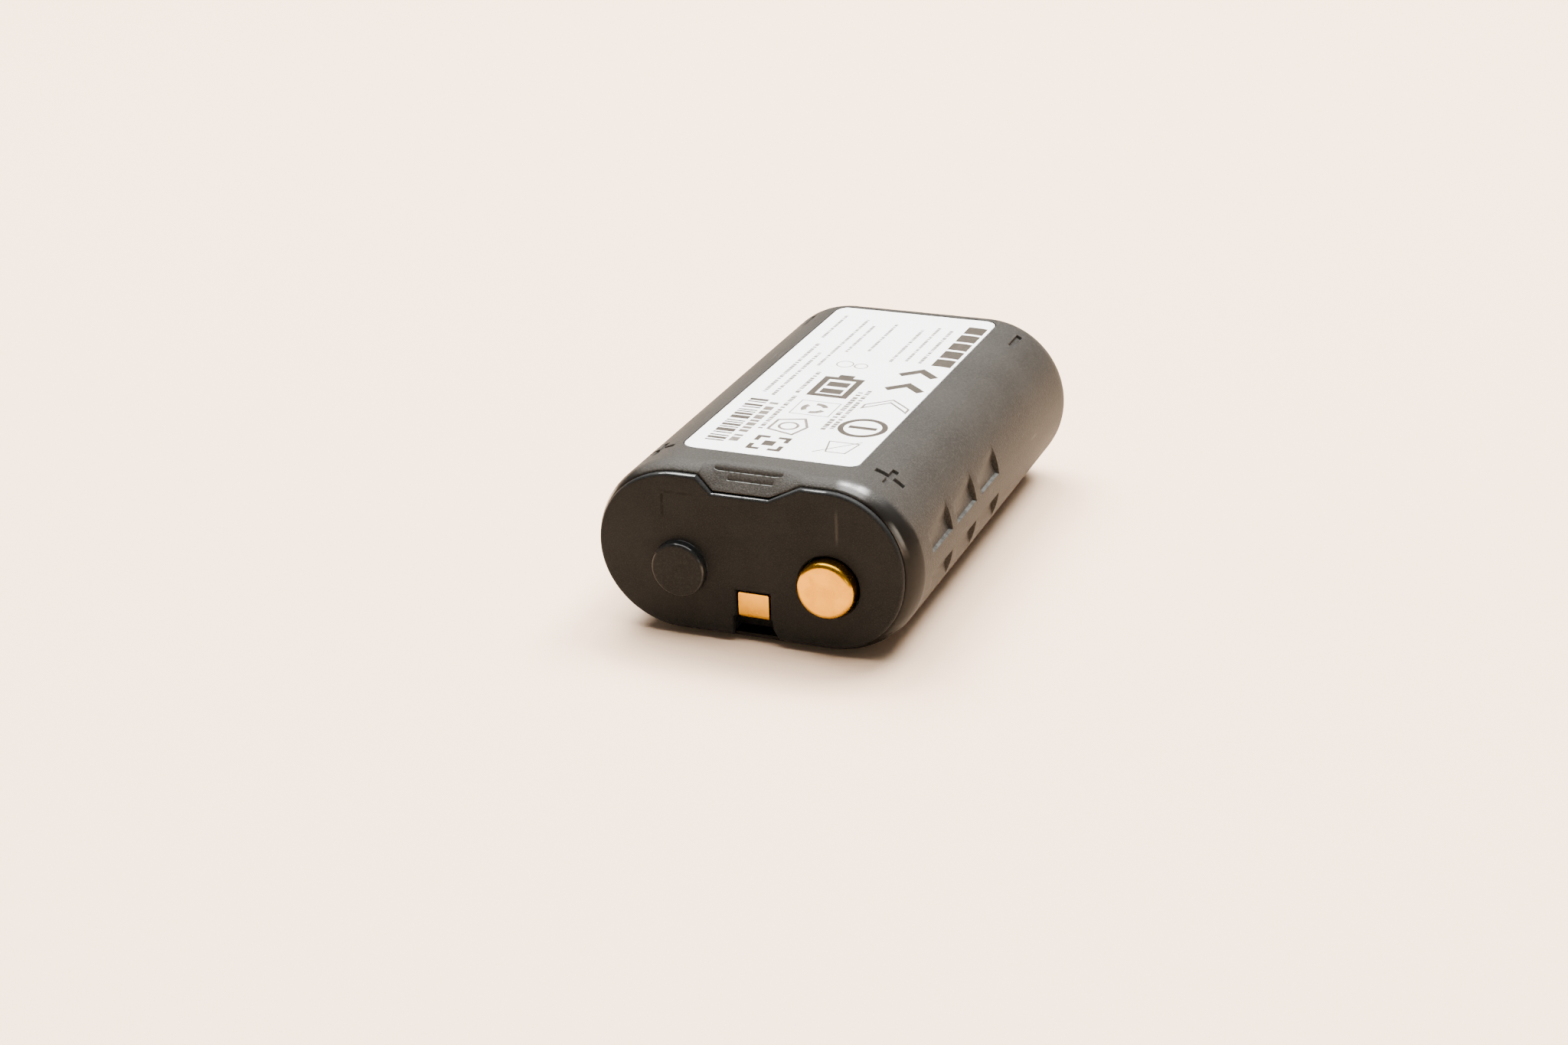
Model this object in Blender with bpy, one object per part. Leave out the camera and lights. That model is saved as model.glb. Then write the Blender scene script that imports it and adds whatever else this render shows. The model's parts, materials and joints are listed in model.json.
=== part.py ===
"""Rechargeable twin-cell battery pack: a round-ended can closed by a front cap, two cells and a control board.

The pack lies flat on +Z up and its contacts face -Y. X is across the two cells. The origin is at the middle
of the underside. Places along the pack are given as a depth behind the cap's front face.
"""

from math import acos, atan2, cos, pi, radians, sin

import bmesh
import bpy
from mathutils import Matrix, Vector

# Driving sizes of the case, in metres
HEIGHT = 0.0160
WIDTH = 0.0300
LENGTH = 0.0480
STUD_PROUD = 0.0012
WALL = 0.0008
END_WALL = 0.0009
REAR_ROUND = 0.0035
INNER_ROUND = 0.0020
GAP = 0.00025
BEYOND = 0.001

# The case's cross-section is two half circles joined by straight runs
CASE_R = HEIGHT / 2
ARC_X = WIDTH / 2 - CASE_R
MID_Z = HEIGHT / 2
INNER_R = CASE_R - WALL
FRONT_Y = (STUD_PROUD - LENGTH) / 2

# The lip is the rolled-in front edge of the can, a stretch of a long ellipse
LIP_DEPTH = 0.00065
LIP_START = 0.0024
LIP_ROLL = 0.0009
LIP_INSET = 0.00055

# Front cap
CAP_R = 0.00735
CAP_EDGE = 0.00025
CAP_RIM = 0.0004
CAP_PLATE = 0.0011
SKIRT_R = INNER_R - GAP
SKIRT_INNER_R = 0.00625
SKIRT_DEPTH = 0.0030

# Contacts on the front
CELL_X = 0.00705
CONTACT_Z = 0.0066
CONTACT_R = 0.00265
STUD_EDGE = 0.00035
NUB_PROUD = 0.0009
NUB_EDGE = 0.0004
LEAF_HALF = 0.0015
LEAF_THICK = 0.0003
LEAF_LOW = 0.0027
LEAF_TOP = 0.00505
LEAF_DEPTH = 0.00015
LEAF_FOOT = 0.0017
LEAF_BEND = 0.0003
LEAF_END_Z = 0.0044

# The cap's notch round the leaf contact, as (x, z), with its right wall flared below
LEAF_NOTCH = [
    (-0.0021, -BEYOND),
    (0.0025, -BEYOND),
    (0.0025, 0.0007),
    (0.0018, 0.0017),
    (0.0018, 0.0052),
    (-0.0021, 0.0052),
]

# The tongue of the can that locks into the cap's upper edge, seen from the front as (x, z)
TONGUE = [(-0.0050, 0.0152), (-0.0036, 0.01405), (0.0016, 0.01405), (0.0044, 0.0152)]
TONGUE_TIP = 0.0003
RAMP_DEPTH = 0.0023
RAMP_GROOVES = [(0.0039, 0.00183), (0.00215, 0.00105)]
GROOVE_WIDTH = 0.00028
GROOVE_CUT = 0.00025

# Grip pockets on both flanks
GRIP_PITCH = 0.00675
GRIP_LENGTH = 0.0052
GRIP_DEPTH = 0.00065
GRIP_LAST = 0.02355
GRIP_MID_Z = 0.0079
GRIP_LAND = 0.0010
GRIP_REACH = 0.0040

# Engraved polarity marks on the shoulders
MARK_ANGLE = radians(61.5)
MARK_LENGTH = 0.0029
MARK_WIDTH = 0.00055
MARK_CUT = 0.0003
PLUS_DEPTH = 0.00565
MINUS_DEPTH = 0.0421

# Label and its recess
LABEL_SIZE = (0.0167, 0.0396)
LABEL_X = -0.0002
LABEL_DEPTH = 0.0246
LABEL_THICK = 0.00015
LABEL_CORNER = 0.0010
RECESS_CUT = 0.00035
RECESS_MARGIN = 0.00015

# Cells, as depths behind the cap's face and radii
CELL_FRONT = 0.0054
CELL_REAR = 0.0459
CELL_R = 0.0066
CELL_WALL = 0.00025
BUTTON_FRONT = 0.0044
SLEEVE_R = 0.0069
SLEEVE_THICK = 0.00015

# Board and strips behind the cap
BOARD_FRONT = 0.0022
BOARD_REAR = 0.0030
BOARD_R = 0.00595
PIN_R = 0.0008
PAPER_FRONT = (0.0036, 0.00375)
PAPER_REAR = (0.0465, 0.04665)
STRIP = 0.00015
STRIP_HALF = 0.0090
STRIP_Z = (0.0060, 0.0100)
FRONT_STRIP = 0.00405
REAR_STRIP = 0.0461
TAIL_DEPTH = 0.003275
TAIL_Z = 0.0052
LEAD_HALF = 0.0012
FLEX_HALF = 0.0007
TOP_LEAD_Z = 0.0139
LOW_LEAD_Z = 0.0020
LEAD_MEET = 0.0244

# Contact windows in the rear wall
WINDOW_R = 0.00315

ARC_STEPS = 20
ROUND_STEPS = 32

# name: (red, green, blue), roughness, metallic
FINISHES = {
    "case_plastic": ((0.060, 0.055, 0.049), 0.55, 0.0),
    "cap_plastic": ((0.022, 0.020, 0.018), 0.35, 0.0),
    "gold_plate": ((0.95, 0.62, 0.20), 0.25, 1.0),
    "nickel": ((0.62, 0.60, 0.56), 0.35, 1.0),
    "can_steel": ((0.55, 0.55, 0.54), 0.30, 1.0),
    "label_film": ((0.90, 0.90, 0.88), 0.45, 0.0),
    "sleeve_film": ((0.05, 0.18, 0.42), 0.35, 0.0),
    "board_laminate": ((0.03, 0.16, 0.07), 0.45, 0.0),
    "chip_resin": ((0.03, 0.03, 0.03), 0.50, 0.0),
    "ceramic": ((0.55, 0.45, 0.34), 0.50, 0.0),
    "fish_paper": ((0.62, 0.55, 0.38), 0.80, 0.0),
    "foil_roll": ((0.22, 0.22, 0.23), 0.45, 0.3),
    "seal_nylon": ((0.75, 0.74, 0.70), 0.50, 0.0),
}


def clear_scene():
    for item in list(bpy.data.objects):
        bpy.data.objects.remove(item, do_unlink=True)


def finish_material(name):
    """The named finish as a Principled material, made once."""
    found = bpy.data.materials.get(name)
    if found:
        return found
    colour, roughness, metallic = FINISHES[name]
    made = bpy.data.materials.new(name)
    made.use_nodes = True
    shader = made.node_tree.nodes["Principled BSDF"]
    shader.inputs["Base Color"].default_value = (*colour, 1.0)
    shader.inputs["Roughness"].default_value = roughness
    shader.inputs["Metallic"].default_value = metallic
    return made


def behind(depth):
    """The Y of a depth behind the cap's front face."""
    return FRONT_Y + depth


def round_ended(radius, depth):
    """The case's outline with the given end radius, at a depth."""
    y = behind(depth)
    angles = [-pi / 2 + pi * i / ARC_STEPS for i in range(ARC_STEPS + 1)]
    right = [Vector((ARC_X + radius * cos(a), y, MID_Z + radius * sin(a))) for a in angles]
    left = [Vector((-p.x, p.y, p.z)) for p in reversed(right)]
    return right + left


def circle(x, z, radius, depth, steps=ROUND_STEPS):
    y = behind(depth)
    turn = [2 * pi * i / steps for i in range(steps)]
    return [Vector((x + radius * cos(a), y, z + radius * sin(a))) for a in turn]


def loft(rings, closed=False):
    """A mesh through equal rings of points. Open ends are capped, or the last ring joins the first."""
    mesh = bmesh.new()
    loops = [[mesh.verts.new(p) for p in points] for points in rings]
    following = loops[1:] + loops[:1] if closed else loops[1:]
    for one, other in zip(loops, following):
        for a, b, c, d in zip(one, one[1:] + one[:1], other[1:] + other[:1], other):
            mesh.faces.new((a, b, c, d))
    if not closed:
        mesh.faces.new(loops[0][::-1])
        mesh.faces.new(loops[-1])
    if mesh.calc_volume(signed=True) < 0:
        bmesh.ops.reverse_faces(mesh, faces=mesh.faces)
    return mesh


def made_object(name, mesh, finish=None, smooth=35):
    """A Blender object from a bmesh, shaded smooth up to the given angle in degrees."""
    data = bpy.data.meshes.new(name)
    mesh.to_mesh(data)
    mesh.free()
    data.shade_smooth()
    data.set_sharp_from_angle(angle=radians(smooth))
    made = bpy.data.objects.new(name, data)
    bpy.context.scene.collection.objects.link(made)
    if finish:
        data.materials.append(finish_material(finish))
    return made


def joined(meshes):
    """Several bmeshes in one."""
    total = bmesh.new()
    for mesh in meshes:
        data = bpy.data.meshes.new("piece")
        mesh.to_mesh(data)
        mesh.free()
        total.from_mesh(data)
        bpy.data.meshes.remove(data)
    return total


def boolean(target, operation, tool_name, mesh):
    """Cuts with, or adds, the given mesh, kept as a wire helper."""
    tool = made_object(tool_name, mesh)
    tool.hide_render = True
    tool.display_type = "WIRE"
    step = target.modifiers.new(tool_name, "BOOLEAN")
    step.operation = operation
    step.object = tool


def prism(outline, front, rear):
    """An (x, z) outline drawn from one depth to another."""
    return loft([[Vector((x, behind(d), z)) for x, z in outline] for d in (front, rear)])


def box(x, depth, z):
    """A block between three pairs of limits, in X, in depth and in Z."""
    outline = [(x[0], z[0]), (x[1], z[0]), (x[1], z[1]), (x[0], z[1])]
    return prism(outline, *depth)


def turned(x, z, profile, closed=False, steps=ROUND_STEPS):
    """A round piece about an axis along Y, through (radius, depth) pairs."""
    return loft([circle(x, z, radius, depth, steps) for radius, depth in profile], closed)


def folded_strip(path, thickness, half_width):
    """A flat strip bent along (depth, z) points, centred on X = 0."""
    sides = ([], [])
    for i, (d, z) in enumerate(path):
        before = Vector(path[max(i - 1, 0)])
        after = Vector(path[min(i + 1, len(path) - 1)])
        here = Vector((d, z))
        inward = (here - before).normalized() if i else (after - here).normalized()
        outward = (after - here).normalized() if i < len(path) - 1 else inward
        middle = (inward + outward).normalized()
        reach = thickness / 2 / max(middle.dot(inward), 0.5)
        across = Vector((-middle.y, middle.x)) * reach
        sides[0].append(here + across)
        sides[1].append(here - across)
    outline = sides[0] + sides[1][::-1]
    rings = [[Vector((x, behind(p.x), p.y)) for p in outline] for x in (-half_width, half_width)]
    return loft(rings)


def bend(corner, start, finish, radius, steps=4):
    """Points of a round bend of a strip at a corner, from the run that starts to the run that finishes."""
    corner, start, finish = Vector(corner), Vector(start), Vector(finish)
    one = (start - corner).normalized()
    other = (finish - corner).normalized()
    centre = corner + (one + other) * radius
    first = corner + one * radius - centre
    second = corner + other * radius - centre
    points = []
    for i in range(steps + 1):
        a = pi / 2 * i / steps
        points.append(tuple(centre + first * cos(a) + second * sin(a)))
    return points


def grown(outline, margin):
    """An outline's corners moved out by a margin, for an outline that runs anticlockwise."""
    moved = []
    for i, here in enumerate(outline):
        before = Vector(outline[i - 1])
        after = Vector(outline[(i + 1) % len(outline)])
        point = Vector(here)
        arriving = (point - before).normalized()
        leaving = (after - point).normalized()
        normal = Vector((arriving.y + leaving.y, -arriving.x - leaving.x)).normalized()
        reach = margin / normal.dot(Vector((arriving.y, -arriving.x)))
        moved.append(tuple(point + normal * reach))
    return moved


# ------------------------------------------------------------------ the can


def case_rings():
    """The can's outside, from the lip's edge to the rear face."""
    rings = []
    steep = acos(1 - LIP_INSET / LIP_ROLL)
    run = LIP_START - LIP_DEPTH
    for i in range(5):
        a = steep * (1 - i / 4)
        depth = LIP_START - run * sin(a) / sin(steep)
        rings.append(round_ended(CASE_R - LIP_ROLL * (1 - cos(a)), depth))
    for i in range(7):
        a = pi / 2 * i / 6
        depth = LENGTH - REAR_ROUND + REAR_ROUND * sin(a)
        rings.append(round_ended(CASE_R - REAR_ROUND * (1 - cos(a)), depth))
    return rings


def cavity_rings():
    rings = [round_ended(INNER_R, 0.0)]
    floor = LENGTH - END_WALL
    for i in range(5):
        a = pi / 2 * i / 4
        depth = floor - INNER_ROUND + INNER_ROUND * sin(a)
        rings.append(round_ended(INNER_R - INNER_ROUND * (1 - cos(a)), depth))
    return rings


def ramp_height(depth):
    """Z of the sloping face of the tongue at a depth."""
    low = TONGUE[1][1] + TONGUE_TIP
    return low + (HEIGHT - low) * depth / RAMP_DEPTH


def ramp_cutter():
    """What lies above the tongue's sloping face, its sides flaring like the tongue's own."""
    above = HEIGHT + BEYOND
    flare = 0.0004
    run_out = 0.0005
    tip_shoulder = 0.0155
    rear = RAMP_DEPTH + run_out
    left, right = TONGUE[0][0], TONGUE[3][0]
    rings = []
    for depth, low_left, low_right, shoulder in (
        (-run_out, TONGUE[1][0] - flare, TONGUE[2][0] + flare, tip_shoulder),
        (rear, left, right, ramp_height(rear) + flare),
    ):
        floor = ramp_height(depth)
        corners = [(low_left, floor), (low_right, floor), (right + flare, shoulder)]
        corners += [(right + flare, above), (left - flare, above), (left - flare, shoulder)]
        rings.append([Vector((x, behind(depth), z)) for x, z in corners])
    return loft(rings)


def ramp_grooves():
    """Two fine grooves across the tongue's sloping face."""
    slope = atan2(HEIGHT - ramp_height(0), RAMP_DEPTH)
    cuts = []
    for half_length, depth in RAMP_GROOVES:
        mesh = bmesh.new()
        bmesh.ops.create_cube(mesh, size=1.0)
        size = Matrix.Diagonal((2 * half_length, GROOVE_WIDTH, 2 * GROOVE_CUT, 1.0))
        place = Matrix.Translation((0, behind(depth), ramp_height(depth)))
        mesh.transform(place @ Matrix.Rotation(slope, 4, "X") @ size)
        cuts.append(mesh)
    return joined(cuts)


def grip_pockets():
    """Wedge-shaped pockets, deepest at the rear, above and below a land along each flank."""
    cuts = []
    for side in (1, -1):
        for row in range(3):
            rear = GRIP_LAST - GRIP_PITCH * row
            front = rear - GRIP_LENGTH
            face = WIDTH / 2
            plan = [(face, front), (face - GRIP_DEPTH, rear), (face + BEYOND, rear), (face + BEYOND, front)]
            for up in (1, -1):
                near = GRIP_MID_Z + up * GRIP_LAND
                far = GRIP_MID_Z + up * GRIP_REACH
                rings = [[Vector((side * x, behind(d), z)) for x, d in plan] for z in (near, far)]
                cuts.append(loft(rings))
    return joined(cuts)


def bar_outline():
    return [
        (-MARK_LENGTH / 2, -MARK_WIDTH / 2),
        (MARK_LENGTH / 2, -MARK_WIDTH / 2),
        (MARK_LENGTH / 2, MARK_WIDTH / 2),
        (-MARK_LENGTH / 2, MARK_WIDTH / 2),
    ]


def plus_outline():
    arm, half = MARK_LENGTH / 2, MARK_WIDTH / 2
    quarter = [(arm, -half), (arm, half), (half, half)]
    turns = [(1, 0), (0, 1), (-1, 0), (0, -1)]
    return [(c * u - s * v, s * u + c * v) for c, s in turns for u, v in quarter]


def shoulder_mark(outline, side, depth):
    """An outline of (along, across) points stood on a shoulder, reaching into the surface and out of it."""
    angle = MARK_ANGLE if side > 0 else pi - MARK_ANGLE
    normal = Vector((cos(angle), 0, sin(angle)))
    across = Vector((sin(angle), 0, -cos(angle)))
    along = Vector((0, 1, 0))
    centre = Vector((side * ARC_X, behind(depth), MID_Z)) + normal * CASE_R
    rings = []
    for height in (-MARK_CUT, BEYOND):
        rings.append([centre + along * u + across * v + normal * height for u, v in outline])
    return loft(rings)


def polarity_marks():
    cuts = []
    for side in (1, -1):
        cuts.append(shoulder_mark(plus_outline(), side, PLUS_DEPTH))
        cuts.append(shoulder_mark(bar_outline(), side, MINUS_DEPTH))
    return joined(cuts)


def label_outline(margin):
    """The label's round-cornered outline as (x, depth), grown by a margin."""
    half_x = LABEL_SIZE[0] / 2 - LABEL_CORNER
    half_y = LABEL_SIZE[1] / 2 - LABEL_CORNER
    radius = LABEL_CORNER + margin
    points = []
    for quarter, (sx, sy) in enumerate(((1, -1), (1, 1), (-1, 1), (-1, -1))):
        for i in range(5):
            a = pi / 2 * (quarter - 1 + i / 4)
            x = LABEL_X + sx * half_x + radius * cos(a)
            points.append((x, LABEL_DEPTH + sy * half_y + radius * sin(a)))
    return points


def label_slab(margin, low, high):
    outline = label_outline(margin)
    return loft([[Vector((x, behind(d), z)) for x, d in outline] for z in (low, high)])


def make_case():
    case = made_object("case_shell", loft(case_rings()), "case_plastic")
    boolean(case, "DIFFERENCE", "cavity", loft(cavity_rings()))
    tongue = TONGUE[1:3] + [(TONGUE[3][0], HEIGHT - WALL / 2), (TONGUE[0][0], HEIGHT - WALL / 2)]
    boolean(case, "UNION", "tongue", prism(tongue, 0.0, RAMP_DEPTH - 0.0004))
    boolean(case, "DIFFERENCE", "ramp", ramp_cutter())
    boolean(case, "DIFFERENCE", "ramp_grooves", ramp_grooves())
    boolean(case, "DIFFERENCE", "grip_pockets", grip_pockets())
    boolean(case, "DIFFERENCE", "polarity_marks", polarity_marks())
    recess = label_slab(RECESS_MARGIN, HEIGHT - RECESS_CUT, HEIGHT + BEYOND)
    boolean(case, "DIFFERENCE", "label_recess", recess)
    through = [(WINDOW_R, LENGTH - END_WALL - BEYOND), (WINDOW_R, LENGTH + BEYOND)]
    windows = [turned(x, MID_Z, through) for x in (CELL_X, -CELL_X)]
    boolean(case, "DIFFERENCE", "rear_windows", joined(windows))


def make_label():
    slab = label_slab(0.0, HEIGHT - LABEL_THICK, HEIGHT)
    made_object("label", slab, "label_film")


# ------------------------------------------------------------------ the front


def make_cap():
    rings = []
    for i in range(4):
        a = pi / 2 * i / 3
        rings.append(round_ended(CAP_R - CAP_EDGE * (1 - sin(a)), CAP_EDGE * (1 - cos(a))))
    rings.append(round_ended(CAP_R, CAP_RIM))
    rings.append(round_ended(SKIRT_R, CAP_RIM))
    rings.append(round_ended(SKIRT_R, SKIRT_DEPTH))
    cap = made_object("front_cap", loft(rings), "cap_plastic")
    hollow = [round_ended(SKIRT_INNER_R, depth) for depth in (CAP_PLATE, SKIRT_DEPTH + BEYOND)]
    boolean(cap, "DIFFERENCE", "board_room", loft(hollow))
    nub = [(CONTACT_R, CAP_PLATE / 2)]
    for i in range(4):
        a = pi / 2 * i / 3
        nub.append((CONTACT_R - NUB_EDGE * (1 - cos(a)), NUB_EDGE * (1 - sin(a)) - NUB_PROUD))
    boolean(cap, "UNION", "blank_nub", turned(-CELL_X, CONTACT_Z, nub))
    hole = [(CONTACT_R + GAP, depth) for depth in (-BEYOND, CAP_PLATE + BEYOND)]
    boolean(cap, "DIFFERENCE", "stud_hole", turned(CELL_X, CONTACT_Z, hole))
    boolean(cap, "DIFFERENCE", "leaf_notch", prism(LEAF_NOTCH, -BEYOND, SKIRT_DEPTH + BEYOND))
    over = HEIGHT + BEYOND
    corners = TONGUE[1:] + [(TONGUE[3][0], over), (TONGUE[0][0], over), TONGUE[0]]
    mouth = prism(grown(corners, GAP), -BEYOND, SKIRT_DEPTH + BEYOND)
    boolean(cap, "DIFFERENCE", "tongue_mouth", mouth)


def make_stud():
    """The positive contact: a domed-edge head with a pin through the board."""
    profile = []
    for i in range(5):
        a = pi / 2 * i / 4
        profile.append((CONTACT_R - STUD_EDGE * (1 - sin(a)), STUD_EDGE * (1 - cos(a)) - STUD_PROUD))
    head, pin = BOARD_FRONT - GAP - STRIP, BOARD_REAR + GAP
    profile += [(CONTACT_R, head), (PIN_R, head), (PIN_R, pin)]
    made_object("positive_stud", turned(CELL_X, CONTACT_Z, profile), "gold_plate")


def make_leaf():
    """The data contact: a strip folded under itself into a soldering foot."""
    face = LEAF_DEPTH + LEAF_THICK / 2
    low = LEAF_LOW + LEAF_THICK / 2
    path = [(face, LEAF_TOP)]
    path += bend((face, low), (face, LEAF_TOP), (LEAF_FOOT, low), LEAF_BEND)
    path += bend((LEAF_FOOT, low), (face, low), (LEAF_FOOT, LEAF_TOP), LEAF_BEND)
    path.append((LEAF_FOOT, LEAF_END_Z))
    made_object("data_contact", folded_strip(path, LEAF_THICK, LEAF_HALF), "gold_plate")


# ------------------------------------------------------------------ the board


def make_board():
    slab = loft([round_ended(BOARD_R, depth) for depth in (BOARD_FRONT, BOARD_REAR)])
    board = made_object("circuit_board", slab, "board_laminate")
    hole = [(PIN_R + GAP, depth) for depth in (BOARD_FRONT - BEYOND, BOARD_REAR + BEYOND)]
    boolean(board, "DIFFERENCE", "pin_hole", turned(CELL_X, CONTACT_Z, hole, steps=16))


def make_components():
    """Parts on the board's front face: name, x, z, width, height, thickness, finish."""
    parts = [
        ("fuel_gauge_chip", -0.0030, 0.0098, 0.0030, 0.0030, 0.0007, "chip_resin"),
        ("protection_chip", 0.0016, 0.0104, 0.0026, 0.0020, 0.0007, "chip_resin"),
        ("switch_transistor", 0.0062, 0.0116, 0.0030, 0.0024, 0.0007, "chip_resin"),
        ("sense_resistor", 0.0016, 0.0072, 0.0032, 0.0016, 0.0005, "ceramic"),
        ("capacitor_1", -0.0072, 0.0112, 0.0016, 0.0008, 0.0006, "ceramic"),
        ("capacitor_2", -0.0072, 0.0096, 0.0016, 0.0008, 0.0006, "ceramic"),
        ("capacitor_3", -0.0030, 0.0070, 0.0016, 0.0008, 0.0006, "ceramic"),
    ]
    seat = BOARD_FRONT - STRIP
    for name, x, z, width, height, thick, finish in parts:
        across = (x - width / 2, x + width / 2)
        upright = (z - height / 2, z + height / 2)
        made_object(name, box(across, (seat - thick, seat), upright), finish)


def make_papers():
    """Insulating cards between the cells and what lies at each end of them."""
    front_r, rear_r = 0.0066, 0.0061
    card = loft([round_ended(front_r, depth) for depth in PAPER_FRONT])
    front = made_object("front_insulator", card, "fish_paper")
    across, through = (-0.0018, 0.0018), (PAPER_FRONT[0] - BEYOND, PAPER_FRONT[1] + BEYOND)
    slots = [(TAIL_Z - 0.0005, TAIL_Z + 0.0005), (0.0, 0.0026), (0.0134, HEIGHT)]
    cuts = [box(across, through, upright) for upright in slots]
    boolean(front, "DIFFERENCE", "lead_slots", joined(cuts))

    card = loft([round_ended(rear_r, depth) for depth in PAPER_REAR])
    rear = made_object("rear_insulator", card, "fish_paper")
    hole = [(0.0015, PAPER_REAR[0] - BEYOND), (0.0015, PAPER_REAR[1] + BEYOND)]
    cuts = [turned(x, MID_Z, hole, steps=16) for x in (CELL_X, -CELL_X)]
    boolean(rear, "DIFFERENCE", "contact_holes", joined(cuts))


def make_strips():
    """Nickel strips that join the cells side by side and lead to the board."""
    across = (-STRIP_HALF, STRIP_HALF)
    tab = STRIP * 0.8
    lap = 0.0010

    bar = box(across, (FRONT_STRIP, FRONT_STRIP + STRIP), STRIP_Z)
    front = made_object("positive_strip", bar, "nickel")
    middle = FRONT_STRIP + STRIP / 2
    path = [(middle, STRIP_Z[0] + lap), (middle, TAIL_Z), (TAIL_DEPTH, TAIL_Z), (TAIL_DEPTH, 0.0068)]
    boolean(front, "UNION", "positive_tail", folded_strip(path, tab, LEAD_HALF))

    bar = box(across, (REAR_STRIP, REAR_STRIP + STRIP), STRIP_Z)
    rear = made_object("negative_strip", bar, "nickel")
    middle = REAR_STRIP + STRIP / 2
    path = [(middle, STRIP_Z[1] - lap), (middle, TOP_LEAD_Z), (LEAD_MEET + GAP / 2, TOP_LEAD_Z)]
    boolean(rear, "UNION", "return_run", folded_strip(path, tab, LEAD_HALF))


def make_fuse():
    body = box((-0.0018, 0.0018), (0.0140, 0.0220), (TOP_LEAD_Z - 0.0006, TOP_LEAD_Z + 0.0007))
    fuse = made_object("thermal_fuse", body, "chip_resin")
    path = [(LEAD_MEET - GAP / 2, TOP_LEAD_Z), (TAIL_DEPTH, TOP_LEAD_Z), (TAIL_DEPTH, 0.0123)]
    boolean(fuse, "UNION", "fuse_leads", folded_strip(path, STRIP, LEAD_HALF))


def make_thermistor():
    body = box((-0.0008, 0.0008), (0.0230, 0.0260), (LOW_LEAD_Z - 0.0003, LOW_LEAD_Z + 0.0006))
    bead = made_object("thermistor_flex", body, "fish_paper")
    path = [(0.0245, LOW_LEAD_Z), (TAIL_DEPTH, LOW_LEAD_Z), (TAIL_DEPTH, 0.0036)]
    boolean(bead, "UNION", "flex_tail", folded_strip(path, STRIP, FLEX_HALF))


def make_rear_contacts():
    """Round contacts in the rear windows, each on a short pin welded to the strip."""
    pin_r, disc_r, edge = 0.0010, 0.0029, 0.0002
    pin, disc, face = 0.04645, 0.0469, 0.0476
    profile = [(pin_r, pin), (pin_r, disc), (disc_r, disc), (disc_r, face - edge), (disc_r - edge, face)]
    for side, name in ((1, "right"), (-1, "left")):
        made_object(f"negative_contact_{name}", turned(side * CELL_X, MID_Z, profile), "gold_plate")


# ------------------------------------------------------------------ the cells


def make_can(x, name):
    """The crimped steel can: closed at the rear, beaded and rolled over at the front."""
    inner = CELL_R - CELL_WALL
    bead, bead_half, bead_r = 0.0076, 0.0006, 0.0060
    corner, mouth_r, floor_r = 0.0003, 0.0052, 0.0058
    profile = [
        (floor_r, CELL_REAR),
        (CELL_R - corner, CELL_REAR - corner),
        (CELL_R, CELL_REAR - 3 * corner),
        (CELL_R, bead + bead_half),
        (bead_r, bead),
        (CELL_R, bead - bead_half),
        (CELL_R, CELL_FRONT + corner),
        (CELL_R - corner, CELL_FRONT),
        (mouth_r, CELL_FRONT),
        (mouth_r, CELL_FRONT + CELL_WALL),
        (inner, CELL_FRONT + CELL_WALL + 0.0001),
        (inner, bead - bead_half),
        (bead_r - CELL_WALL, bead),
        (inner, bead + bead_half),
        (inner, CELL_REAR - 3 * corner),
        (floor_r, CELL_REAR - corner),
    ]
    made_object(f"cell_can_{name}", turned(x, MID_Z, profile), "can_steel")


def make_cell(side, name):
    """One wound cell: can, winding, header with its button, seal, washer and printed sleeve."""
    x = side * CELL_X
    make_can(x, name)
    sleeve_bore = SLEEVE_R - SLEEVE_THICK
    tubes = [
        ("electrode_roll", 0.0008, 0.0061, 0.0086, 0.0450, "foil_roll"),
        ("cell_gasket", 0.0056, 0.00615, 0.0059, 0.0068, "seal_nylon"),
        ("shoulder_washer", 0.0032, 0.0063, 0.0050, 0.00515, "seal_nylon"),
        ("cell_sleeve", sleeve_bore, SLEEVE_R, 0.0048, 0.0450, "sleeve_film"),
    ]
    for piece, bore, radius, front, rear, finish in tubes:
        section = [(radius, front), (radius, rear), (bore, rear), (bore, front)]
        made_object(f"{piece}_{name}", turned(x, MID_Z, section, closed=True), finish)
    hat = [(0.0025, BUTTON_FRONT), (0.00275, BUTTON_FRONT + 0.00015), (0.0029, 0.0059)]
    hat += [(0.0054, 0.0061), (0.0054, 0.0065)]
    made_object(f"cell_header_{name}", turned(x, MID_Z, hat), "can_steel")


def main():
    clear_scene()
    make_case()
    make_label()
    make_cap()
    make_stud()
    make_leaf()
    make_board()
    make_components()
    make_papers()
    make_strips()
    make_fuse()
    make_thermistor()
    make_rear_contacts()
    for side, name in ((1, "right"), (-1, "left")):
        make_cell(side, name)


main()
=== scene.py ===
"""Looks of a rechargeable battery pack: a grained can, a satin cap, gold contacts and a printed label.

The pack lies on its flat side with its contacts facing -Y. Pieces are drawn in millimetres: X across the two
cells, a depth behind the cap's front face, and Z up.
"""

import json
from math import acos, asin, ceil, cos, pi, radians, sin, sqrt

import bmesh
import bpy
from mathutils import Matrix, Vector


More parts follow.
